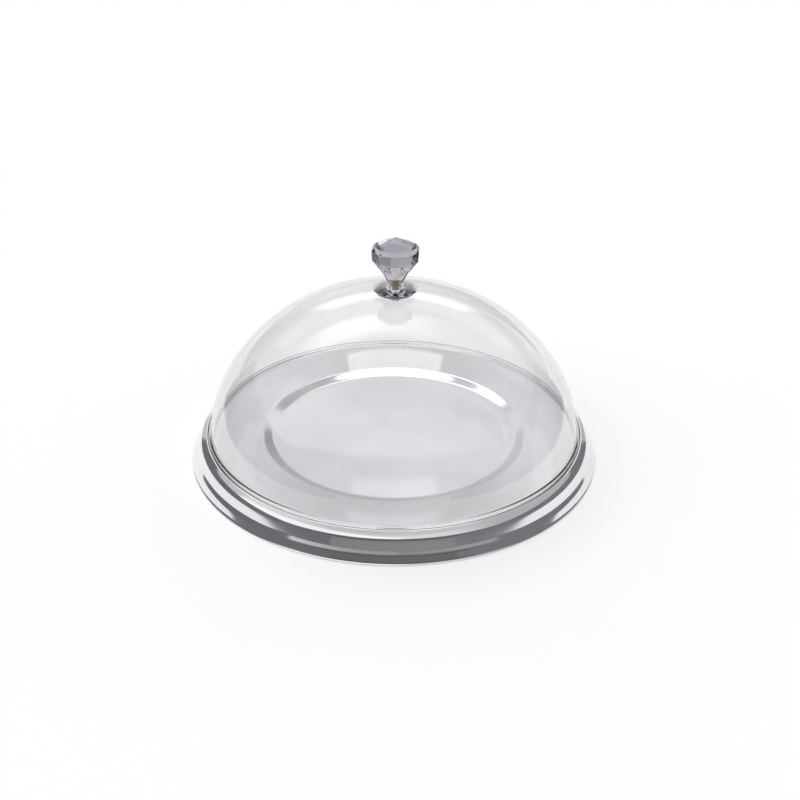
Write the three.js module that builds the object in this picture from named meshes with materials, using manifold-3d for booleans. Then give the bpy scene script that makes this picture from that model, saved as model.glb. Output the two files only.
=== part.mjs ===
// Cheese dome: a clear domed cover with a faceted knob, standing on a polished
// steel serving tray. Millimetres, +Z up. The origin is the centre of the ring
// that the tray stands on, so the table is the plane z = 0.

import * as THREE from "three";
import * as BufferGeometryUtils from "three/addons/utils/BufferGeometryUtils.js";
import Module from "manifold-3d";

// ---- driving dimensions -----------------------------------------------------

// Dome: a cap of an ellipsoid whose equator lies below the foot, so that the
// wall leans inward a little where it meets the tray.
const DOME_FOOT_R = 136.6;   // outer radius of the foot band
const DOME_H = 104.4;        // underside of the foot to the outer top
const DOME_DROP = 12;        // equator of the ellipsoid below the foot
const DOME_WALL = 2.6;
const FOOT_BAND_H = 3.2;     // thickened band round the foot
const FOOT_BAND_PROUD = 0.8; // how far the band stands out from the wall
const FOOT_EDGE = 0.5;       // chamfer of the band's edges

// Tray: one spun sheet, from the well in the middle to the hem at the edge.
const SHEET = 1;
const FLOOR_Z = 10;          // top of the well's floor above the table
const WELL_R = 97;           // top edge of the well's wall
const WELL_DEPTH = 3.6;
const WELL_WALL_RUN = 7;     // how far the well's wall slopes inwards
const SEAT_W = 7;            // flat ledge that the dome's foot stands on
const SEAT_RISE = 4.4;       // ledge above the well's top edge
const LIP_H = 1;             // lip that keeps the dome centred
const LIP_W = 1.2;
const LIP_SLOPE_W = 0.4;     // the part of its width in which the lip rises
const SHOULDER_RUN = 4.2;    // sloped shoulder outside the lip
const SHOULDER_DROP = 2.7;
const WALL_RUN = 2.9;        // steep wall under the shoulder
const WALL_DROP = 7.7;
const SKIRT_RUN = 4.5;       // skirt that flares out to the edge
const SKIRT_BREAK_RUN = 1.8; // where the skirt turns steeper
const SKIRT_BREAK_DROP = 2.6;
const HEM_W = 3;             // sheet folded over at the edge
const HEM_H = 1.4;
const HEM_ROUND = 0.5;
const FLOOR_ROUND = 8;       // bends in the sheet, from the floor outwards
const WELL_ROUND = 6;
const SEAT_ROUND = 8;
const LIP_ROUND = 0.4;
const SHOULDER_ROUND = 7.4;
const SKIRT_ROUND = 8;

// Knob: a ten-sided cut stone on a flared foot, moulded in one piece.
const KNOB_SIDES = 10;
const KNOB_TURN = -3;        // first edge of the stone from the front, in degrees
const GIRDLE_R = 17;
const GIRDLE_H = 6.6;
const GIRDLE_TAPER = 0.4;    // radius lost over the girdle's height
const CROWN_H = 8.8;
const CROWN_EDGE_R = 14.8;   // ring where the crown turns down to the girdle
const CROWN_EDGE_H = 2.6;
const CROWN_BREAK_R = 8.2;   // ring where the crown's upper two tiers meet
const CROWN_BREAK_H = 5.4;
const PAVILION_H = 10.4;
const PAVILION_R = 8.8;      // where the steep tier of the stone begins
const STEM_H = 7;
const NECK_R = 5;
const FOOT_FLARE_H = 4.2;
const FOOT_FLARE_R = 7.6;
const KNOB_FOOT_R = 15.4;
const KNOB_FOOT_H = 1.5;
const KNOB_FOOT_SLOPE = 1.3; // rise from the foot's edge to the flare

// Fastening: a machine screw from inside the dome into a brass insert.
const SCREW_R = 2;
const SCREW_LENGTH = 16;
const SCREW_HEAD_R = 4;
const SCREW_HEAD_H = 2.6;
const SCREW_HEAD_TOP_R = 2.6;
const SCREW_TIP = 0.5;
const RECESS_W = 1;
const RECESS_SPAN = 4.4;
const RECESS_DEPTH = 1.5;
const INSERT_WALL = 0.6;
const INSERT_DEPTH = 4.8;    // from the knob's underside up to the insert
const INSERT_LENGTH = 5;
const INSERT_CHAMFER = 0.3;
const WASHER_R = 6;
const WASHER_T = 0.9;
const INNER_GASKET_R = 8;
const INNER_GASKET_T = 1.5;
const KNOB_GASKET_R = 13.2;
const KNOB_GASKET_T = 0.8;

// Clearances
const SEAT_PLAY = 0.6;       // dome's foot inside the lip, all round
const REST_GAP = 0.3;        // dome's foot over its ledge
const STACK_GAP = 0.2;       // between the clamped pieces
const THREAD_GAP = 0.2;      // screw inside the insert
const INSERT_GAP = 0.15;     // insert in the knob
const SCREW_HOLE_PLAY = 0.5; // screw through the dome and the washers

const CUT_MARGIN = 1;        // how far a cutting tool runs past the surface

// Smoothness
const ROUND_SEGMENTS = 60;
const SMALL_SEGMENTS = 32;
const DOME_STEPS = 15;
const FILLET_STEPS = 2;
const SHOULDER_STEPS = 5;
const CURVED_FACE_STEPS = 4;

// ---- sizes that follow ------------------------------------------------------

const rad = THREE.MathUtils.degToRad;

const SEAT_OUT_R = DOME_FOOT_R + SEAT_PLAY;
const SEAT_IN_R = SEAT_OUT_R - SEAT_W;
const FLOOR_R = WELL_R - WELL_WALL_RUN;
const WELL_TOP_Z = FLOOR_Z + WELL_DEPTH;
const SEAT_Z = WELL_TOP_Z + SEAT_RISE;
const LIP_Z = SEAT_Z + LIP_H;
const LIP_R = SEAT_OUT_R + LIP_W;
const SHOULDER_R = LIP_R + SHOULDER_RUN;
const SHOULDER_Z = LIP_Z - SHOULDER_DROP;
const WALL_R = SHOULDER_R + WALL_RUN;
const WALL_Z = SHOULDER_Z - WALL_DROP;
const TRAY_R = WALL_R + SKIRT_RUN;

const DOME_Z = SEAT_Z + REST_GAP;
const DOME_TOP_Z = DOME_Z + DOME_H;
const WALL_FOOT_R = DOME_FOOT_R - FOOT_BAND_PROUD;
const EQUATOR_Z = DOME_Z - DOME_DROP;
const OUTER_B = DOME_H + DOME_DROP;
const OUTER_A = WALL_FOOT_R / Math.sqrt(1 - (DOME_DROP / OUTER_B) ** 2);
const SCREW_HOLE_R = SCREW_R + SCREW_HOLE_PLAY;

const KNOB_GASKET_TOP_Z = DOME_TOP_Z + STACK_GAP + KNOB_GASKET_T;
const KNOB_Z = KNOB_GASKET_TOP_Z + STACK_GAP;
const INSERT_BORE_R = SCREW_R + THREAD_GAP;
const INSERT_R = INSERT_BORE_R + INSERT_WALL;
const INSERT_Z = KNOB_Z + INSERT_DEPTH;
const INSERT_TOP_Z = INSERT_Z + INSERT_LENGTH;
const INSERT_HOLE_R = INSERT_R + INSERT_GAP;

const DOME_INNER_TOP_Z = DOME_TOP_Z - DOME_WALL;
const INNER_GASKET_Z = DOME_INNER_TOP_Z - STACK_GAP - INNER_GASKET_T;
const WASHER_Z = INNER_GASKET_Z - STACK_GAP - WASHER_T;
const SCREW_SEAT_Z = WASHER_Z - STACK_GAP;
const SCREW_HEAD_Z = SCREW_SEAT_Z - SCREW_HEAD_H;
const SCREW_TIP_Z = SCREW_SEAT_Z + SCREW_LENGTH;
const INSERT_HOLE_TOP_Z = Math.max(INSERT_TOP_Z, SCREW_TIP_Z) + STACK_GAP;

// ---- outline helpers: an outline is a list of [radius, height] ----------------

// Points of a circular or elliptical arc, both ends included.
function arc(centreR, centreZ, radiusR, radiusZ, from, to, steps) {
  const points = [];
  for (let i = 0; i <= steps; i++) {
    const angle = from + ((to - from) * i) / steps;
    points.push([
      centreR + radiusR * Math.cos(angle),
      centreZ + radiusZ * Math.sin(angle),
    ]);
  }
  return points;
}

// Unit vector from one outline point to another, and their distance.
function direction(from, to) {
  const run = to[0] - from[0];
  const rise = to[1] - from[1];
  const length = Math.hypot(run, rise);
  return { run: run / length, rise: rise / length, length };
}

// One corner rounded to the given radius, within what its two sides leave.
function roundedCorner(before, corner, after, radius, steps) {
  const back = direction(corner, before);
  const ahead = direction(corner, after);
  const opening = Math.acos(
    THREE.MathUtils.clamp(back.run * ahead.run + back.rise * ahead.rise, -1, 1),
  );
  const room = Math.min(back.length, ahead.length) / 2;
  const cut = Math.min(radius / Math.tan(opening / 2), room);
  const start = [corner[0] + back.run * cut, corner[1] + back.rise * cut];
  const end = [corner[0] + ahead.run * cut, corner[1] + ahead.rise * cut];
  const points = [];
  for (let i = 0; i <= steps; i++) {
    const t = i / steps;
    const u = 1 - t;
    points.push([
      u * u * start[0] + 2 * u * t * corner[0] + t * t * end[0],
      u * u * start[1] + 2 * u * t * corner[1] + t * t * end[1],
    ]);
  }
  return points;
}

// An open outline from corners [radius, height, rounding, steps of the rounding].
function roundedLine(corners) {
  const last = corners.length - 1;
  return corners.flatMap((corner, i) => {
    const [r, z, rounding = 0, steps = FILLET_STEPS] = corner;
    if (i === 0 || i === last || rounding === 0) return [[r, z]];
    return roundedCorner(corners[i - 1], corner, corners[i + 1], rounding, steps);
  });
}

// The same line moved sideways by the sheet's thickness, to its right-hand side.
function offsetLine(line, distance) {
  return line.map((point, i) => {
    const before = direction(line[Math.max(i - 1, 0)], line[Math.max(i, 1)]);
    const end = Math.min(i + 1, line.length - 1);
    const after = direction(line[end - 1], line[end]);
    const normalR = before.rise + after.rise;
    const normalZ = -(before.run + after.run);
    const length = Math.hypot(normalR, normalZ);
    const miter = (distance * 2) / length;
    return [
      point[0] + (normalR / length) * miter,
      point[1] + (normalZ / length) * miter,
    ];
  });
}

// ---- solid helpers ------------------------------------------------------------

// Turns an outline round the Z axis. It starts and ends on the axis, or closes.
function turned(outline, segments = SMALL_SEGMENTS, firstEdge = 0) {
  const points = outline.map(([r, z]) => new THREE.Vector2(r, z));
  const touchesAxis = outline[0][0] === 0 && outline.at(-1)[0] === 0;
  if (!touchesAxis) points.push(points[0].clone());
  if (THREE.ShapeUtils.area(points) < 0) points.reverse();
  const geometry = new THREE.LatheGeometry(points, segments, firstEdge);
  return geometry.rotateX(Math.PI / 2);
}

// One face of a washer-shaped solid, from its hole outwards.
function face(innerR, outerR, heightAt, steps) {
  const points = [];
  for (let i = 0; i <= steps; i++) {
    const radius = THREE.MathUtils.lerp(innerR, outerR, i / steps);
    points.push([radius, heightAt(radius)]);
  }
  return points;
}

const wasm = await Module();
wasm.setup();

// A closed geometry as a solid that can be cut.
function toSolid(geometry) {
  const bare = geometry.index ? geometry.toNonIndexed() : geometry.clone();
  bare.deleteAttribute("normal");
  bare.deleteAttribute("uv");
  const merged = BufferGeometryUtils.mergeVertices(bare, 1e-4);
  const corners = merged.index.array;
  const kept = [];
  for (let i = 0; i < corners.length; i += 3) {
    const [a, b, c] = [corners[i], corners[i + 1], corners[i + 2]];
    if (a !== b && b !== c && c !== a) kept.push(a, b, c);
  }
  return new wasm.Manifold(
    new wasm.Mesh({
      numProp: 3,
      vertProperties: merged.attributes.position.array,
      triVerts: new Uint32Array(kept),
    }),
  );
}

function toGeometry(solid) {
  const mesh = solid.getMesh();
  const geometry = new THREE.BufferGeometry();
  geometry.setAttribute(
    "position",
    new THREE.BufferAttribute(new Float32Array(mesh.vertProperties), mesh.numProp),
  );
  geometry.setIndex(new THREE.BufferAttribute(new Uint32Array(mesh.triVerts), 1));
  geometry.computeVertexNormals();
  return geometry;
}

function cut(body, ...tools) {
  const cutters = tools.map(toSolid);
  return toGeometry(cutters.reduce((left, tool) => left.subtract(tool), toSolid(body)));
}

// ---- tray -----------------------------------------------------------------------

function trayGeometry() {
  const upper = roundedLine([
    [0, FLOOR_Z],
    [FLOOR_R, FLOOR_Z, FLOOR_ROUND],
    [WELL_R, WELL_TOP_Z, WELL_ROUND],
    [SEAT_IN_R, SEAT_Z, SEAT_ROUND],
    [SEAT_OUT_R, SEAT_Z, LIP_ROUND],
    [SEAT_OUT_R + LIP_SLOPE_W, LIP_Z, LIP_ROUND],
    [LIP_R, LIP_Z, LIP_ROUND],
    [SHOULDER_R, SHOULDER_Z, SHOULDER_ROUND, SHOULDER_STEPS],
    [WALL_R, WALL_Z],
    [WALL_R + SKIRT_BREAK_RUN, WALL_Z - SKIRT_BREAK_DROP, SKIRT_ROUND],
    [TRAY_R - HEM_ROUND, HEM_H],
  ]);
  const lower = offsetLine(upper, SHEET).slice(1, -1).reverse();
  const hem = [
    [TRAY_R, HEM_H - HEM_ROUND],
    [TRAY_R, HEM_ROUND],
    [TRAY_R - HEM_ROUND, 0],
    [TRAY_R - HEM_W + HEM_ROUND, 0],
    [TRAY_R - HEM_W, HEM_ROUND],
    [TRAY_R - HEM_W, HEM_H],
  ];
  return turned([...upper, ...hem, ...lower, [0, FLOOR_Z - SHEET]], ROUND_SEGMENTS);
}

// ---- dome -----------------------------------------------------------------------

// Height of the dome's surface at a radius; inset is how far inside the outer one.
function domeZ(radius, inset) {
  const share = radius / (OUTER_A - inset);
  return EQUATOR_Z + (OUTER_B - inset) * Math.sqrt(1 - share * share);
}

// The dome's surface from a height up to the screw hole, as an outline.
function domeLine(fromZ, inset) {
  const a = OUTER_A - inset;
  const b = OUTER_B - inset;
  const from = Math.asin((fromZ - EQUATOR_Z) / b);
  const to = Math.acos(SCREW_HOLE_R / a);
  return arc(0, EQUATOR_Z, a, b, from, to, DOME_STEPS);
}

function domeGeometry() {
  const bandTop = DOME_Z + FOOT_BAND_H;
  const band = [
    [DOME_FOOT_R - FOOT_EDGE, DOME_Z],
    [DOME_FOOT_R, DOME_Z + FOOT_EDGE],
    [DOME_FOOT_R, bandTop - FOOT_EDGE],
  ];
  const outside = domeLine(bandTop, 0);
  const inside = domeLine(DOME_Z, DOME_WALL).reverse();
  return turned([...band, ...outside, ...inside], ROUND_SEGMENTS);
}

// ---- knob -----------------------------------------------------------------------

function knobBlank() {
  const footTop = KNOB_Z + KNOB_FOOT_H;
  const flare = footTop + KNOB_FOOT_SLOPE;
  const neck = footTop + FOOT_FLARE_H;
  const stemTop = neck + STEM_H;
  const girdleLow = stemTop + PAVILION_H;
  const girdleTop = girdleLow + GIRDLE_H;
  return turned(
    [
      [0, KNOB_Z],
      [KNOB_FOOT_R - FOOT_EDGE, KNOB_Z],
      [KNOB_FOOT_R, KNOB_Z + FOOT_EDGE],
      [KNOB_FOOT_R, footTop],
      [FOOT_FLARE_R, flare],
      [NECK_R, neck],
      [PAVILION_R, stemTop],
      [GIRDLE_R - GIRDLE_TAPER, girdleLow],
      [GIRDLE_R, girdleTop],
      [CROWN_EDGE_R, girdleTop + CROWN_EDGE_H],
      [CROWN_BREAK_R, girdleTop + CROWN_BREAK_H],
      [0, girdleTop + CROWN_H],
    ],
    KNOB_SIDES,
    rad(KNOB_TURN),
  );
}

function knobGeometry() {
  const below = KNOB_Z - CUT_MARGIN;
  const hole = turned([
    [0, below],
    [INSERT_HOLE_R, below],
    [INSERT_HOLE_R, INSERT_HOLE_TOP_Z],
    [0, INSERT_HOLE_TOP_Z],
  ]);
  return cut(knobBlank(), hole);
}

function insertGeometry() {
  return turned([
    [INSERT_BORE_R + INSERT_CHAMFER, INSERT_Z],
    [INSERT_R, INSERT_Z],
    [INSERT_R, INSERT_TOP_Z - INSERT_CHAMFER],
    [INSERT_R - INSERT_CHAMFER, INSERT_TOP_Z],
    [INSERT_BORE_R, INSERT_TOP_Z],
    [INSERT_BORE_R, INSERT_Z + INSERT_CHAMFER],
  ]);
}

// ---- fastening --------------------------------------------------------------------

function knobGasketGeometry() {
  const onDome = (r) => domeZ(r, 0) + STACK_GAP;
  const lower = face(SCREW_HOLE_R, KNOB_GASKET_R, onDome, CURVED_FACE_STEPS);
  const upper = face(SCREW_HOLE_R, KNOB_GASKET_R, () => KNOB_GASKET_TOP_Z, 1);
  return turned([...lower, ...upper.reverse()]);
}

function innerGasketGeometry() {
  const underDome = (r) => domeZ(r, DOME_WALL) - STACK_GAP;
  const lower = face(SCREW_HOLE_R, INNER_GASKET_R, () => INNER_GASKET_Z, 1);
  const upper = face(SCREW_HOLE_R, INNER_GASKET_R, underDome, CURVED_FACE_STEPS);
  return turned([...lower, ...upper.reverse()]);
}

function washerGeometry() {
  return turned([
    [SCREW_HOLE_R, WASHER_Z],
    [WASHER_R, WASHER_Z],
    [WASHER_R, WASHER_Z + WASHER_T],
    [SCREW_HOLE_R, WASHER_Z + WASHER_T],
  ]);
}

// Pan head down, shank up into the insert, with a cross recess in the head.
function screwGeometry() {
  const blank = turned([
    [0, SCREW_HEAD_Z],
    [SCREW_HEAD_TOP_R, SCREW_HEAD_Z],
    [SCREW_HEAD_R, SCREW_HEAD_Z + SCREW_HEAD_H / 2],
    [SCREW_HEAD_R, SCREW_SEAT_Z],
    [SCREW_R, SCREW_SEAT_Z],
    [SCREW_R, SCREW_TIP_Z - SCREW_TIP],
    [SCREW_R - SCREW_TIP, SCREW_TIP_Z],
    [0, SCREW_TIP_Z],
  ]);
  const slots = [0, 90].map((turn) =>
    new THREE.BoxGeometry(RECESS_SPAN, RECESS_W, RECESS_DEPTH * 2)
      .rotateZ(rad(turn))
      .translate(0, 0, SCREW_HEAD_Z),
  );
  return cut(blank, ...slots);
}

// ---- materials and assembly -------------------------------------------------------

const FINISH = {
  clear: { color: 0xf4f6f8, roughness: 0.03, metalness: 0, transparent: true, opacity: 0.3 },
  crystal: { color: 0xe9e9f0, roughness: 0.02, metalness: 0, transparent: true, opacity: 0.5 },
  steel: { color: 0xc9c9cd, roughness: 0.12, metalness: 1 },
  brass: { color: 0xb99a5b, roughness: 0.3, metalness: 1 },
  silicone: { color: 0xeef0f0, roughness: 0.5, metalness: 0, transparent: true, opacity: 0.6 },
};

function piece(name, geometry, finish) {
  const mesh = new THREE.Mesh(geometry, new THREE.MeshStandardMaterial(FINISH[finish]));
  mesh.name = name;
  return mesh;
}

function cover() {
  const group = new THREE.Group();
  group.add(piece("dome", domeGeometry(), "clear"));
  group.add(piece("knob", knobGeometry(), "crystal"));
  group.add(piece("knob_insert", insertGeometry(), "brass"));
  group.add(piece("knob_gasket", knobGasketGeometry(), "silicone"));
  group.add(piece("inner_gasket", innerGasketGeometry(), "silicone"));
  group.add(piece("screw_washer", washerGeometry(), "steel"));
  group.add(piece("knob_screw", screwGeometry(), "steel"));
  return group;
}

const cheeseDome = new THREE.Group();
cheeseDome.add(piece("tray", trayGeometry(), "steel"));
cheeseDome.add(cover());

export default cheeseDome;
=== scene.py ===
import math

import bmesh
import bpy
from mathutils import Matrix, Vector


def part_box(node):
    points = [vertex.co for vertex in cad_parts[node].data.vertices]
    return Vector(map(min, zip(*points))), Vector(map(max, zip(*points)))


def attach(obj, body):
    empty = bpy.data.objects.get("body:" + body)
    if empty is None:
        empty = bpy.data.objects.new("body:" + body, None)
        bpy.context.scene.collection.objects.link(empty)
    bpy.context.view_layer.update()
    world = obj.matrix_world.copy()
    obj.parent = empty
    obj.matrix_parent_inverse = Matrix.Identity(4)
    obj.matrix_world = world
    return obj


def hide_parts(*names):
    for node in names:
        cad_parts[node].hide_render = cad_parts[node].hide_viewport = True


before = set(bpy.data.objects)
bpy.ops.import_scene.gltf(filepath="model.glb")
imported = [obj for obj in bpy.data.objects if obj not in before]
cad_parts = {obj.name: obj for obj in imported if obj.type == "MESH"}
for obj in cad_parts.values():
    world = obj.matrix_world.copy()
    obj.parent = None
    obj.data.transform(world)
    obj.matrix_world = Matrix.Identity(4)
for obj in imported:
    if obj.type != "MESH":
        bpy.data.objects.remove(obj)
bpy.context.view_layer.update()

MM = 0.001

# ---- shapes, in millimetres: a profile is a list of (radius, height) -----------------

ROUND_SIDES = 288
SMALL_SIDES = 72
SHEET = 1.0
GLASS_WALL = 2.6
FOOT_BAND_H = 3.2
FOOT_BAND_PROUD = 0.8
FOOT_EDGE = 0.5
DOME_DROP = 12.0
KNOB_SIDES = 10
KNOB_TURN = math.radians(-3)


def extent(node):
    """Largest radius, lowest and highest level of a CAD node, in millimetres."""
    low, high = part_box(node)
    return high.x / MM, low.z / MM, high.z / MM


TRAY_R, TABLE_Z, LIP_Z = extent("tray")
DOME_FOOT_R, DOME_Z, DOME_TOP_Z = extent("dome")
KNOB_Z, KNOB_TOP_Z = extent("knob")[1:]


def ellipse(half_r, half_z, centre_z, start, end, steps):
    angles = [start + (end - start) * i / steps for i in range(steps + 1)]
    return [(half_r * math.cos(a), centre_z + half_z * math.sin(a)) for a in angles]


def rounded(corners, steps=8):
    """An open profile from corners (radius, height, rounding)."""
    line = []
    for i, (r, z, rounding) in enumerate(corners):
        if not rounding:
            line.append((r, z))
            continue
        here = Vector((r, z))
        back = Vector(corners[i - 1][:2]) - here
        ahead = Vector(corners[(i + 1) % len(corners)][:2]) - here
        opening = back.angle(ahead)
        reach = min(rounding / math.tan(opening / 2), back.length / 2, ahead.length / 2)
        start = here + back.normalized() * reach
        end = here + ahead.normalized() * reach
        for k in range(steps + 1):
            t = k / steps
            line.append(tuple((1 - t) ** 2 * start + 2 * t * (1 - t) * here + t * t * end))
    return line


def offset(line, distance):
    """The same profile moved sideways to its right-hand side."""
    moved = []
    for i, point in enumerate(line):
        before = Vector(line[max(i, 1)]) - Vector(line[max(i, 1) - 1])
        end = min(i + 1, len(line) - 1)
        after = Vector(line[end]) - Vector(line[end - 1])
        before.normalize()
        after.normalize()
        normal = Vector((before.y + after.y, -(before.x + after.x)))
        moved.append(tuple(Vector(point) + normal.normalized() * (2 * distance / normal.length)))
    return moved


# ---- meshes --------------------------------------------------------------------------


def add_object(name, mesh, body, nodes, material):
    piece = bpy.data.objects.new(name, mesh)
    bpy.context.scene.collection.objects.link(piece)
    mesh.materials.append(material)
    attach(piece, body)
    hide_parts(*nodes)
    return piece


def finish_mesh(bm, name, sharp_angle):
    bmesh.ops.remove_doubles(bm, verts=bm.verts, dist=1e-7)
    bmesh.ops.recalc_face_normals(bm, faces=bm.faces)
    mesh = bpy.data.meshes.new(name)
    bm.to_mesh(mesh)
    bm.free()
    mesh.polygons.foreach_set("use_smooth", [True] * len(mesh.polygons))
    mesh.set_sharp_from_angle(angle=math.radians(sharp_angle))
    return mesh


def turn(bm, profile, sides, first=0.0, closed=True):
    """Turns a profile round the Z axis; a closed one that misses the axis makes a ring."""
    rings = []
    for r, z in profile:
        if r < 1e-6:
            rings.append([bm.verts.new((0, 0, z * MM))])
            continue
        ring = []
        for k in range(sides):
            a = first + 2 * math.pi * k / sides
            ring.append(bm.verts.new((r * MM * math.sin(a), -r * MM * math.cos(a), z * MM)))
        rings.append(ring)
    pairs = list(zip(rings, rings[1:]))
    if closed:
        pairs.append((rings[-1], rings[0]))
    for lower, upper in pairs:
        if len(lower) == 1 and len(upper) == 1:
            continue
        for k in range(sides):
            n = (k + 1) % sides
            below = [lower[k % len(lower)], lower[n % len(lower)]]
            above = [upper[n % len(upper)], upper[k % len(upper)]]
            corners = below + above
            bm.faces.new(list(dict.fromkeys(corners)))


def turned(name, profile, sides=SMALL_SIDES, sharp_angle=35, closed=True):
    bm = bmesh.new()
    turn(bm, profile, sides, closed=closed)
    return finish_mesh(bm, name, sharp_angle)


# ---- materials -----------------------------------------------------------------------


class Nodes:
    """Short calls for a material's node tree."""

    def __init__(self, name):
        self.material = bpy.data.materials.new(name)
        self.material.use_nodes = True
        self.tree = self.material.node_tree
        self.shader = self.tree.nodes["Principled BSDF"]

    def new(self, kind, **values):
        node = self.tree.nodes.new(kind)
        for key, value in values.items():
            setattr(node, key, value)
        return node

    def link(self, source, target):
        self.tree.links.new(source, target)

    def set(self, **values):
        for key, value in values.items():
            self.shader.inputs[key.replace("_", " ")].default_value = value

    def position(self):
        return self.new("ShaderNodeTexCoord").outputs["Object"]

    def math(self, operation, a, b=None):
        node = self.new("ShaderNodeMath", operation=operation)
        for socket, value in zip(node.inputs, (a, b)):
            if value is None:
                continue
            if isinstance(value, (int, float)):
                socket.default_value = value
            else:
                self.link(value, socket)
        return node.outputs[0]

    def noise(self, vector, scale, detail=3.0, roughness=0.5):
        node = self.new("ShaderNodeTexNoise")
        node.inputs["Scale"].default_value = scale
        node.inputs["Detail"].default_value = detail
        node.inputs["Roughness"].default_value = roughness
        self.link(vector, node.inputs["Vector"])
        return node.outputs["Fac"]

    def map(self, value, from_low, from_high, to_low, to_high):
        node = self.new("ShaderNodeMapRange")
        self.link(value, node.inputs["Value"])
        for name, number in zip(
            ("From Min", "From Max", "To Min", "To Max"), (from_low, from_high, to_low, to_high)
        ):
            node.inputs[name].default_value = number
        return node.outputs["Result"]

    def blend(self, factor, dark, light):
        node = self.new("ShaderNodeValToRGB")
        node.color_ramp.elements[0].color = (*dark, 1)
        node.color_ramp.elements[1].color = (*light, 1)
        self.link(factor, node.inputs["Fac"])
        return node.outputs["Color"]

    def bump(self, height, strength, distance, before=None):
        node = self.new("ShaderNodeBump")
        node.inputs["Strength"].default_value = strength
        node.inputs["Distance"].default_value = distance
        self.link(height, node.inputs["Height"])
        if before is not None:
            self.link(before, node.inputs["Normal"])
        return node.outputs["Normal"]

    def rings(self, pitch_per_m, wander=0.4):
        """Coordinates that run out from the axis, so that a noise becomes turning marks."""
        split = self.new("ShaderNodeSeparateXYZ")
        self.link(self.position(), split.inputs[0])
        x, y, z = split.outputs
        radius = self.math("SQRT", self.math("ADD", self.math("MULTIPLY", x, x), self.math("MULTIPLY", y, y)))
        join = self.new("ShaderNodeCombineXYZ")
        self.link(self.math("MULTIPLY", self.math("ADD", radius, z), pitch_per_m), join.inputs[0])
        self.link(self.math("MULTIPLY", self.math("ARCTAN2", y, x), wander), join.inputs[1])
        return join.outputs[0]


def steel_material(name, dark, light, rough, ring_strength):
    n = Nodes(name)
    n.set(Metallic=1.0)
    place = n.position()
    fine = n.noise(n.rings(900), 1.0, 2.0, 0.5)
    broad = n.noise(place, 14.0, 4.0)
    n.link(n.blend(n.map(broad, 0.3, 0.7, 0, 1), dark, light), n.shader.inputs["Base Color"])
    smear = n.math("ADD", n.math("MULTIPLY", fine, 0.5), n.math("MULTIPLY", n.noise(place, 16.0), 0.5))
    n.link(n.map(smear, 0.3, 0.7, rough[0], rough[1]), n.shader.inputs["Roughness"])
    wave = n.bump(n.noise(place, 9.0, 0.5), 0.2, 0.0004)
    n.link(n.bump(fine, ring_strength, 0.00004, wave), n.shader.inputs["Normal"])
    return n.material


def clear_material(name, ior, dark, light, rough, wave_scale, wave_strength, depth_tint, depth_density):
    n = Nodes(name)
    n.set(Transmission_Weight=1.0, IOR=ior)
    depth = n.new("ShaderNodeVolumeAbsorption")
    depth.inputs["Color"].default_value = (*depth_tint, 1)
    depth.inputs["Density"].default_value = depth_density
    n.link(depth.outputs[0], n.tree.nodes["Material Output"].inputs["Volume"])
    place = n.position()
    cloud = n.noise(place, 22.0, 3.0)
    n.link(n.blend(n.map(cloud, 0.3, 0.7, 0, 1), dark, light), n.shader.inputs["Base Color"])
    n.link(n.map(n.noise(place, 90.0, 5.0), 0.35, 0.75, rough[0], rough[1]), n.shader.inputs["Roughness"])
    n.link(n.bump(n.noise(place, wave_scale, 2.0), wave_strength, 0.0005), n.shader.inputs["Normal"])
    return n.material


def silicone_material():
    n = Nodes("clear_silicone")
    n.set(Transmission_Weight=0.75, IOR=1.41)
    place = n.position()
    n.link(n.blend(n.noise(place, 180.0), (0.78, 0.8, 0.81), (0.9, 0.91, 0.92)), n.shader.inputs["Base Color"])
    n.link(n.map(n.noise(place, 700.0), 0.3, 0.7, 0.28, 0.5), n.shader.inputs["Roughness"])
    n.link(n.bump(n.noise(place, 1500.0), 0.2, 0.0001), n.shader.inputs["Normal"])
    return n.material


def brass_material():
    n = Nodes("brass")
    n.set(Metallic=1.0)
    place = n.position()
    stain = n.noise(place, 400.0, 4.0)
    n.link(n.blend(stain, (0.5, 0.33, 0.12), (0.86, 0.68, 0.36)), n.shader.inputs["Base Color"])
    n.link(n.map(n.noise(place, 900.0), 0.3, 0.7, 0.18, 0.4), n.shader.inputs["Roughness"])
    n.link(n.bump(n.noise(place, 2500.0), 0.25, 0.00005), n.shader.inputs["Normal"])
    return n.material


STEEL = steel_material("polished_steel", (0.77, 0.77, 0.79), (0.87, 0.87, 0.885), (0.05, 0.13), 0.04)
FASTENER = steel_material("fastener_steel", (0.55, 0.55, 0.57), (0.7, 0.7, 0.71), (0.2, 0.38), 0.6)
CLEAR = clear_material(
    "clear_acrylic",
    1.49,
    (0.955, 0.958, 0.964),
    (0.975, 0.977, 0.98),
    (0.0, 0.012),
    9.0,
    0.12,
    (0.55, 0.56, 0.58),
    24.0,
)
CRYSTAL = clear_material(
    "cut_crystal",
    1.52,
    (0.84, 0.83, 0.87),
    (0.9, 0.89, 0.92),
    (0.0, 0.015),
    60.0,
    0.06,
    (0.5, 0.48, 0.53),
    46.0,
)
SILICONE = silicone_material()
BRASS = brass_material()

# ---- tray ----------------------------------------------------------------------------

SEAT_OUT_R = DOME_FOOT_R + 0.6
SEAT_Z = LIP_Z - 1.0
FLOOR_Z = SEAT_Z - 8.0
LIP_R = SEAT_OUT_R + 1.2
SHOULDER_R = LIP_R + 4.2
SHOULDER_Z = LIP_Z - 2.7
WALL_R = SHOULDER_R + 2.9
WALL_Z = SHOULDER_Z - 7.7
HEM_W = 3.0
HEM_H = 1.4
HEM_ROUND = 0.5


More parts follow.
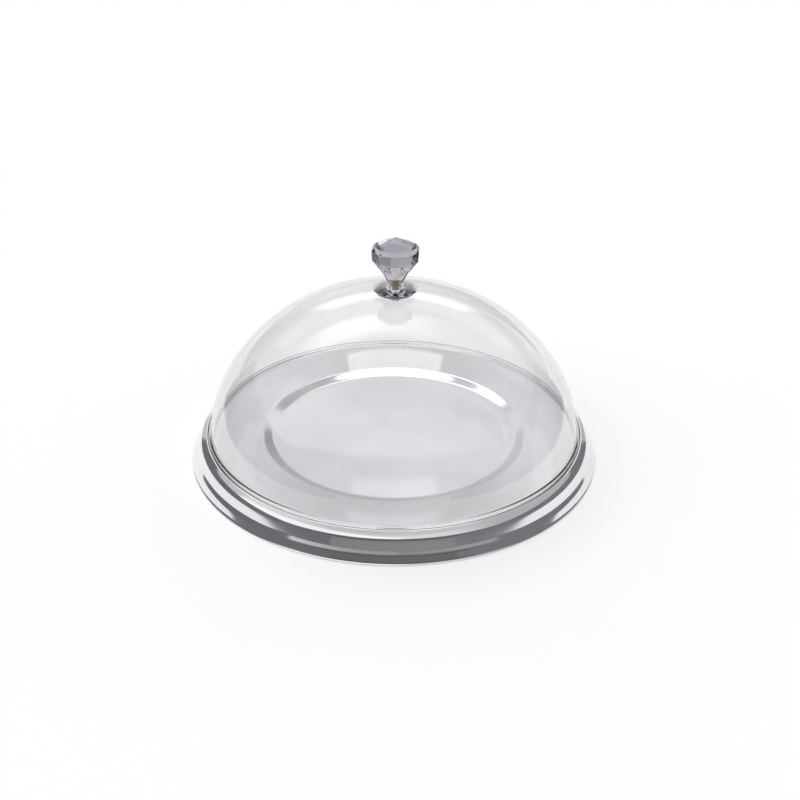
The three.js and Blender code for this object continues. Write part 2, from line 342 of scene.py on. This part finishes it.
def supported(line, longest):
    """The same profile with every long step divided, so that its shading stays flat."""
    dense = [line[0]]
    for start, end in zip(line, line[1:]):
        length = math.dist(start, end)
        parts = max(1, min(40, math.ceil(length / longest)))
        for k in range(1, parts + 1):
            t = k / parts
            dense.append(tuple(Vector(start).lerp(Vector(end), t)))
    return dense


def tray_profile():
    upper = rounded(
        [
            (0.0, FLOOR_Z, 0),
            (90.0, FLOOR_Z, 8.0),
            (97.0, FLOOR_Z + 3.6, 6.0),
            (SEAT_OUT_R - 7.0, SEAT_Z, 8.0),
            (SEAT_OUT_R, SEAT_Z, 0.4),
            (SEAT_OUT_R + 0.4, LIP_Z, 0.4),
            (LIP_R, LIP_Z, 0.4),
            (SHOULDER_R, SHOULDER_Z, 7.4),
            (WALL_R, WALL_Z, 0.3),
            (WALL_R + 1.8, WALL_Z - 2.6, 8.0),
            (TRAY_R - HEM_ROUND, HEM_H, 0),
        ],
        12,
    )
    lower = offset(upper, SHEET)[1:-1][::-1]
    hem = rounded(
        [
            (TRAY_R - HEM_ROUND, HEM_H, 0),
            (TRAY_R, HEM_H - HEM_ROUND, 0.3),
            (TRAY_R, 0.0, HEM_ROUND),
            (TRAY_R - HEM_W, 0.0, HEM_ROUND),
            (TRAY_R - HEM_W, HEM_H, 0),
        ],
        5,
    )[1:]
    return supported(upper + hem, 1.2) + lower + [(0.0, FLOOR_Z - SHEET)]


def make_tray():
    mesh = turned("tray_sheet", tray_profile(), ROUND_SIDES, 28)
    return add_object("tray_sheet", mesh, "tray", ["tray"], STEEL)


# ---- dome ----------------------------------------------------------------------------

EQUATOR_Z = DOME_Z - DOME_DROP
OUTER_B = DOME_TOP_Z - EQUATOR_Z
WALL_FOOT_R = DOME_FOOT_R - FOOT_BAND_PROUD
OUTER_A = WALL_FOOT_R / math.sqrt(1 - (DOME_DROP / OUTER_B) ** 2)
SCREW_HOLE_R = 2.5
DOME_STEPS = 90


def dome_line(from_z, inset):
    half_r, half_z = OUTER_A - inset, OUTER_B - inset
    start = math.asin((from_z - EQUATOR_Z) / half_z)
    end = math.acos(SCREW_HOLE_R / half_r)
    return ellipse(half_r, half_z, EQUATOR_Z, start, end, DOME_STEPS)


def make_dome():
    band_top = DOME_Z + FOOT_BAND_H
    outside = dome_line(band_top, 0)
    inside = dome_line(DOME_Z, GLASS_WALL)[::-1]
    band = rounded(
        [
            (inside[-1][0], DOME_Z, 0),
            (DOME_FOOT_R, DOME_Z, FOOT_EDGE),
            (DOME_FOOT_R, band_top, FOOT_EDGE),
            (outside[0][0], band_top, 0),
        ],
        5,
    )[1:-1]
    mesh = turned("dome_shell", band + outside + inside, ROUND_SIDES, 30)
    return add_object("dome_shell", mesh, "cover", ["dome"], CLEAR)


# ---- knob ----------------------------------------------------------------------------

INSERT_R, INSERT_Z, INSERT_TOP_Z = extent("knob_insert")
BORE_R = INSERT_R + 0.15
BORE_SIDES = 40
FACET_EDGE = 0.16
EMBED = 0.06


def stone_profile():
    foot_top = KNOB_Z + 1.5
    neck = foot_top + 4.2
    stem_top = neck + 7.0
    girdle_low = stem_top + 10.4
    girdle_top = girdle_low + 6.6
    return [
        (10.0, KNOB_Z),
        (14.9, KNOB_Z),
        (15.4, KNOB_Z + 0.5),
        (15.4, foot_top),
        (7.6, foot_top + 1.3),
        (5.0, neck),
        (8.8, stem_top),
        (16.6, girdle_low),
        (17.0, girdle_top),
        (14.8, girdle_top + 2.6),
        (8.2, girdle_top + 5.4),
        (0.0, KNOB_TOP_Z),
    ]


def ring(bm, radius, height, sides, first=0.0):
    angles = [first + 2 * math.pi * k / sides for k in range(sides)]
    return [bm.verts.new((radius * MM * math.sin(a), -radius * MM * math.cos(a), height * MM)) for a in angles]


def skin(bm, lower, upper):
    for k in range(len(lower)):
        n = (k + 1) % len(lower)
        bm.faces.new((lower[k], lower[n], upper[n], upper[k]))


def add_bore(bm):
    """A round hole in the stone's underside. Above it the glass grips the insert."""
    rim = [v for v in bm.verts if v.is_boundary]
    rim.sort(key=lambda v: (math.atan2(v.co.x, -v.co.y) - KNOB_TURN + 0.01) % (2 * math.pi))
    shelf = INSERT_Z + EMBED
    grip_r = INSERT_R - EMBED
    levels = [(BORE_R, KNOB_Z), (BORE_R, shelf), (grip_r, shelf), (grip_r, INSERT_TOP_Z - EMBED)]
    rings = [ring(bm, r, z, BORE_SIDES, KNOB_TURN) for r, z in levels]
    per_side = BORE_SIDES // KNOB_SIDES
    for k, corner in enumerate(rim):
        after = rim[(k + 1) % KNOB_SIDES]
        arc = [rings[0][(k * per_side + j) % BORE_SIDES] for j in range(per_side + 1)]
        for start, end in zip(arc, arc[1:]):
            bm.faces.new((corner, start, end))
        bm.faces.new((corner, arc[-1], after))
    for lower, upper in zip(rings, rings[1:]):
        skin(bm, lower, upper)
    bm.faces.new(rings[-1])


def make_knob():
    bm = bmesh.new()
    turn(bm, stone_profile(), KNOB_SIDES, KNOB_TURN, closed=False)
    bmesh.ops.bevel(
        bm,
        geom=[e for e in bm.edges if e.calc_face_angle(0) > 0.05],
        offset=FACET_EDGE * MM,
        segments=2,
        profile=0.5,
        affect="EDGES",
    )
    add_bore(bm)
    mesh = finish_mesh(bm, "knob_stone", 12)
    return add_object("knob_stone", mesh, "cover", ["knob"], CRYSTAL)


def make_insert():
    """A tube with two bands of crossed knurls and a groove between them."""
    knurls, rows, bore = 20, 16, 2.2
    bm = bmesh.new()
    rings = []
    for i in range(rows + 1):
        height = INSERT_Z + (INSERT_TOP_Z - INSERT_Z) * i / rows
        row = ring(bm, INSERT_R, height, knurls * 4)
        knurled = 1 < i < 7 or 9 < i < 15
        lean = 0.9 * i if i < 8 else -0.9 * i
        for k, v in enumerate(row):
            dip = 0.08 + 0.08 * math.cos(2 * math.pi * k / 4 + lean) if knurled else 0.0
            dip += {0: 0.25, rows: 0.25, 8: 0.3}.get(i, 0.0)
            v.co.xy *= 1 - dip / INSERT_R
        rings.append(row)
    rings += [ring(bm, bore, z, knurls * 4) for z in (INSERT_TOP_Z, INSERT_Z)]
    for lower, upper in zip(rings, rings[1:] + rings[:1]):
        skin(bm, lower, upper)
    mesh = finish_mesh(bm, "threaded_insert", 40)
    return add_object("threaded_insert", mesh, "cover", ["knob_insert"], BRASS)


# ---- gaskets, washer, screw ------------------------------------------------------------


def surface_z(radius, inset):
    share = radius / (OUTER_A - inset)
    return EQUATOR_Z + (OUTER_B - inset) * math.sqrt(1 - share * share)


def make_gaskets():
    gap = 0.2
    outer_r, low, high = extent("knob_gasket")
    steps = [SCREW_HOLE_R + (outer_r - SCREW_HOLE_R) * i / 12 for i in range(13)]
    under = [(r, surface_z(r, 0) + gap) for r in steps]
    profile = under + [(outer_r, high - 0.3), (outer_r - 0.3, high), (SCREW_HOLE_R, high)]
    mesh = turned("knob_gasket_disc", profile, SMALL_SIDES, 30)
    add_object("knob_gasket_disc", mesh, "cover", ["knob_gasket"], SILICONE)
    outer_r, low, high = extent("inner_gasket")
    steps = [SCREW_HOLE_R + (outer_r - SCREW_HOLE_R) * i / 8 for i in range(9)]
    above = [(r, surface_z(r, GLASS_WALL) - gap) for r in steps]
    profile = above + [(outer_r, low + 0.3), (outer_r - 0.3, low), (SCREW_HOLE_R, low)]
    mesh = turned("inner_gasket_disc", profile, SMALL_SIDES, 30)
    add_object("inner_gasket_disc", mesh, "cover", ["inner_gasket"], SILICONE)


def make_washer():
    outer_r, low, high = extent("screw_washer")
    edge = 0.15
    profile = rounded(
        [
            (SCREW_HOLE_R, low, edge),
            (outer_r, low, edge),
            (outer_r, high, edge),
            (SCREW_HOLE_R, high, edge),
        ],
        3,
    )
    mesh = turned("washer_ring", profile, SMALL_SIDES, 30)
    add_object("washer_ring", mesh, "cover", ["screw_washer"], FASTENER)


THREAD_PITCH = 0.7
THREAD_DEPTH = 0.28
SHANK_R = 2.0
SCREW_SIDES = 32
RECESS_HALF = 2.2
RECESS_SLOT = 0.5
RECESS_DEEP = 1.5


def shank_rings(bm, seat, tip):
    step = THREAD_PITCH / 8
    rows = int((tip - seat - 0.6) / step)
    rings = []
    for i in range(rows + 1):
        row = ring(bm, SHANK_R, seat + i * step, SCREW_SIDES)
        fade = min(1.0, i / 8, (rows - i) / 8)
        for k, v in enumerate(row):
            phase = (i * step / THREAD_PITCH - k / SCREW_SIDES) % 1.0
            v.co.xy *= 1 - THREAD_DEPTH * abs(2 * phase - 1) * fade / SHANK_R
        rings.append(row)
    rings.append(ring(bm, SHANK_R, tip - 0.5, SCREW_SIDES))
    rings.append(ring(bm, SHANK_R - 0.5, tip, SCREW_SIDES))
    return rings


def cross_cutter(low):
    """The cross recess in the screw's head: two slots that narrow as they go in."""
    bm = bmesh.new()
    for turned_by in (0, 90):
        spin = Matrix.Rotation(math.radians(turned_by), 4, "Z")
        corners = []
        for z, half in ((low - 0.3, RECESS_HALF), (low + RECESS_DEEP, 0.7)):
            for x, y in ((-half, -RECESS_SLOT), (half, -RECESS_SLOT), (half, RECESS_SLOT), (-half, RECESS_SLOT)):
                corners.append(bm.verts.new(spin @ Vector((x, y, z)) * MM))
        for face in ((3, 2, 1, 0), (4, 5, 6, 7), (0, 1, 5, 4), (1, 2, 6, 5), (2, 3, 7, 6), (3, 0, 4, 7)):
            bm.faces.new([corners[i] for i in face])
    mesh = bpy.data.meshes.new("cross")
    bm.to_mesh(mesh)
    bm.free()
    return bpy.data.objects.new("cross", mesh)


def make_screw():
    head_r, low, tip = extent("knob_screw")
    seat = low + 2.6
    bm = bmesh.new()
    shank = shank_rings(bm, seat, tip)
    dome = ellipse(head_r, seat - 0.7 - low, seat - 0.7, 0, -math.radians(84), 10)
    head = [ring(bm, r, z, SCREW_SIDES) for r, z in [(head_r, seat), *dome]]
    for lower, upper in zip([shank[0], *head], head):
        skin(bm, lower, upper)
    for lower, upper in zip(shank, shank[1:]):
        skin(bm, lower, upper)
    bm.faces.new(shank[-1])
    bm.faces.new(head[-1])
    mesh = finish_mesh(bm, "machine_screw", 35)
    piece = add_object("machine_screw", mesh, "cover", ["knob_screw"], FASTENER)
    cutter = cross_cutter(low)
    bpy.context.scene.collection.objects.link(cutter)
    recess = piece.modifiers.new("recess", "BOOLEAN")
    recess.operation = "DIFFERENCE"
    recess.use_self = True
    recess.object = cutter
    bpy.context.view_layer.update()
    carved = bpy.data.meshes.new_from_object(piece.evaluated_get(bpy.context.evaluated_depsgraph_get()))
    piece.modifiers.clear()
    bpy.data.objects.remove(cutter)
    piece.data = carved
    carved.name = "machine_screw"


make_tray()
make_dome()
make_knob()
make_insert()
make_gaskets()
make_washer()
make_screw()

# ---- studio --------------------------------------------------------------------------


def make_floor():
    bm = bmesh.new()
    turn(bm, [(0.0, 0.0), (250.0, 0.0), (9000.0, 0.0)], 96, closed=False)
    mesh = finish_mesh(bm, "floor", 30)
    floor = bpy.data.objects.new("floor", mesh)
    bpy.context.scene.collection.objects.link(floor)
    n = Nodes("floor_white")
    n.set(Base_Color=(0.9, 0.9, 0.9, 1), Roughness=0.9, Specular_IOR_Level=0.0)
    path = n.new("ShaderNodeLightPath")
    bounced = n.math("MAXIMUM", path.outputs["Is Glossy Ray"], path.outputs["Is Transmission Ray"])
    seen = n.math("MAXIMUM", path.outputs["Is Camera Ray"], bounced)
    glow = n.new("ShaderNodeEmission")
    n.link(n.math("MULTIPLY", seen, 0.14), glow.inputs["Strength"])
    both = n.new("ShaderNodeAddShader")
    n.link(n.shader.outputs[0], both.inputs[0])
    n.link(glow.outputs[0], both.inputs[1])
    n.link(both.outputs[0], n.tree.nodes["Material Output"].inputs["Surface"])
    mesh.materials.append(n.material)


def make_flags():
    """Two upright grey cards beside the tray, out of the picture, for its rim to reflect."""
    n = Nodes("grey_card")
    n.set(Base_Color=(0.26, 0.26, 0.28, 1), Roughness=0.9, Specular_IOR_Level=0.0)
    for side in (-1, 1):
        x, front, back, top = side * 0.33, -0.6, 0.2, 0.15
        mesh = bpy.data.meshes.new("grey_card")
        mesh.from_pydata([(x, front, 0), (x, back, 0), (x, back, top), (x, front, top)], [], [(0, 1, 2, 3)])
        mesh.materials.append(n.material)
        card = bpy.data.objects.new("grey_card", mesh)
        bpy.context.scene.collection.objects.link(card)
        card.visible_camera = False
        card.visible_diffuse = False
        card.visible_shadow = False


def direction(azimuth, elevation):
    """Azimuth 0 is the camera's side, 90 the right-hand side."""
    a, e = math.radians(azimuth), math.radians(elevation)
    return Vector((math.sin(a) * math.cos(e), -math.cos(a) * math.cos(e), math.sin(e)))


class Sky:
    """The studio round the object, as soft-edged panels on a plain pale surround."""

    def __init__(self, level):
        self.world = bpy.data.worlds.new("studio")
        self.world.use_nodes = True
        self.tree = self.world.node_tree
        self.background = self.tree.nodes["Background"]
        self.ray = self.tree.nodes.new("ShaderNodeTexCoord").outputs["Generated"]
        self.level = self.value(level)

    def value(self, number):
        node = self.tree.nodes.new("ShaderNodeValue")
        node.outputs[0].default_value = number
        return node.outputs[0]

    def math(self, operation, *inputs):
        node = self.tree.nodes.new("ShaderNodeMath")
        node.operation = operation
        for socket, value in zip(node.inputs, inputs):
            if isinstance(value, (int, float)):
                socket.default_value = value
            else:
                self.tree.links.new(value, socket)
        return node.outputs[0]

    def dot(self, vector):
        node = self.tree.nodes.new("ShaderNodeVectorMath")
        node.operation = "DOT_PRODUCT"
        self.tree.links.new(self.ray, node.inputs[0])
        node.inputs[1].default_value = vector
        return node.outputs["Value"]

    def inside(self, distance, half, soft):
        node = self.tree.nodes.new("ShaderNodeMapRange")
        node.interpolation_type = "SMOOTHSTEP"
        self.tree.links.new(distance, node.inputs["Value"])
        for name, number in zip(("From Min", "From Max", "To Min", "To Max"), (half - soft, half + soft, 1, 0)):
            node.inputs[name].default_value = number
        return node.outputs["Result"]

    def panel(self, azimuth, elevation, width, height, soft, level, turn=0.0):
        """Brings the surround to the given level inside a panel, its sizes as full angles."""
        centre = direction(azimuth, elevation)
        side = direction(azimuth + 90, 0)
        up = side.cross(centre) * -1
        spin = Matrix.Rotation(math.radians(turn), 3, centre)
        side, up = spin @ side, spin @ up
        ahead = self.math("MAXIMUM", self.dot(centre), 0.001)
        across = self.math("ABSOLUTE", self.math("DIVIDE", self.dot(side), ahead))
        along = self.math("ABSOLUTE", self.math("DIVIDE", self.dot(up), ahead))
        edge = math.tan(math.radians(soft))
        mask = self.math(
            "MULTIPLY",
            self.inside(across, math.tan(math.radians(width / 2)), edge),
            self.inside(along, math.tan(math.radians(height / 2)), edge),
        )
        gain = self.math("SUBTRACT", level, self.level)
        self.level = self.math("MULTIPLY_ADD", mask, gain, self.level)

    def cap(self, azimuth, elevation, radius, soft, level):
        """Brings the surround to the given level inside a round patch, its sizes as angles."""
        closeness = self.dot(direction(azimuth, elevation))
        angle = self.math("ARCCOSINE", self.math("MINIMUM", closeness, 1.0))
        mask = self.inside(angle, math.radians(radius), math.radians(soft))
        gain = self.math("SUBTRACT", level, self.level)
        self.level = self.math("MULTIPLY_ADD", mask, gain, self.level)

    def below(self, azimuth, tilt, height, soft, level):
        """Brings the surround to the given level below a tilted plane."""
        side = self.dot(direction(azimuth + 180, tilt))
        mask = self.inside(side, height, soft)
        gain = self.math("SUBTRACT", level, self.level)
        self.level = self.math("MULTIPLY_ADD", mask, gain, self.level)

    def done(self):
        self.tree.links.new(self.level, self.background.inputs["Strength"])
        self.background.inputs["Color"].default_value = (1, 1, 1, 1)
        bpy.context.scene.world = self.world


def make_sky():
    sky = Sky(0.8)
    sky.panel(180, 54, 120, 16, 4, 2.3)
    sky.cap(0, 90, 24, 8, 0.62)
    sky.cap(112, 8, 62, 14, 0.5)
    sky.cap(-112, 4, 42, 12, 0.6)
    sky.panel(180, 32, 80, 16, 3, 1.0)
    sky.panel(-50, 38, 84, 44, 4, 1.15)
    sky.below(0, 68, 0.19, 0.05, 0.13)
    sky.below(0, 80, 0.0, 0.12, 0.26)
    sky.panel(180, 82, 42, 17, 1.5, 3.6)
    sky.done()


def make_camera():
    data = bpy.data.cameras.new("camera")
    data.sensor_width = 36
    data.lens = 44.53
    data.clip_end = 40
    camera = bpy.data.objects.new("camera", data)
    bpy.context.scene.collection.objects.link(camera)
    pitch = Matrix.Rotation(math.radians(90 - 28.83), 4, "X")
    yaw = Matrix.Rotation(math.radians(-0.37), 4, "Z")
    roll = Matrix.Rotation(0.011, 4, "Z")
    camera.matrix_world = Matrix.Translation((0, -0.6412, 0.3892)) @ yaw @ pitch @ roll
    bpy.context.scene.camera = camera


make_floor()
make_flags()
make_sky()
make_camera()
bpy.context.scene.view_settings.view_transform = "Standard"

bpy.context.view_layer.update()
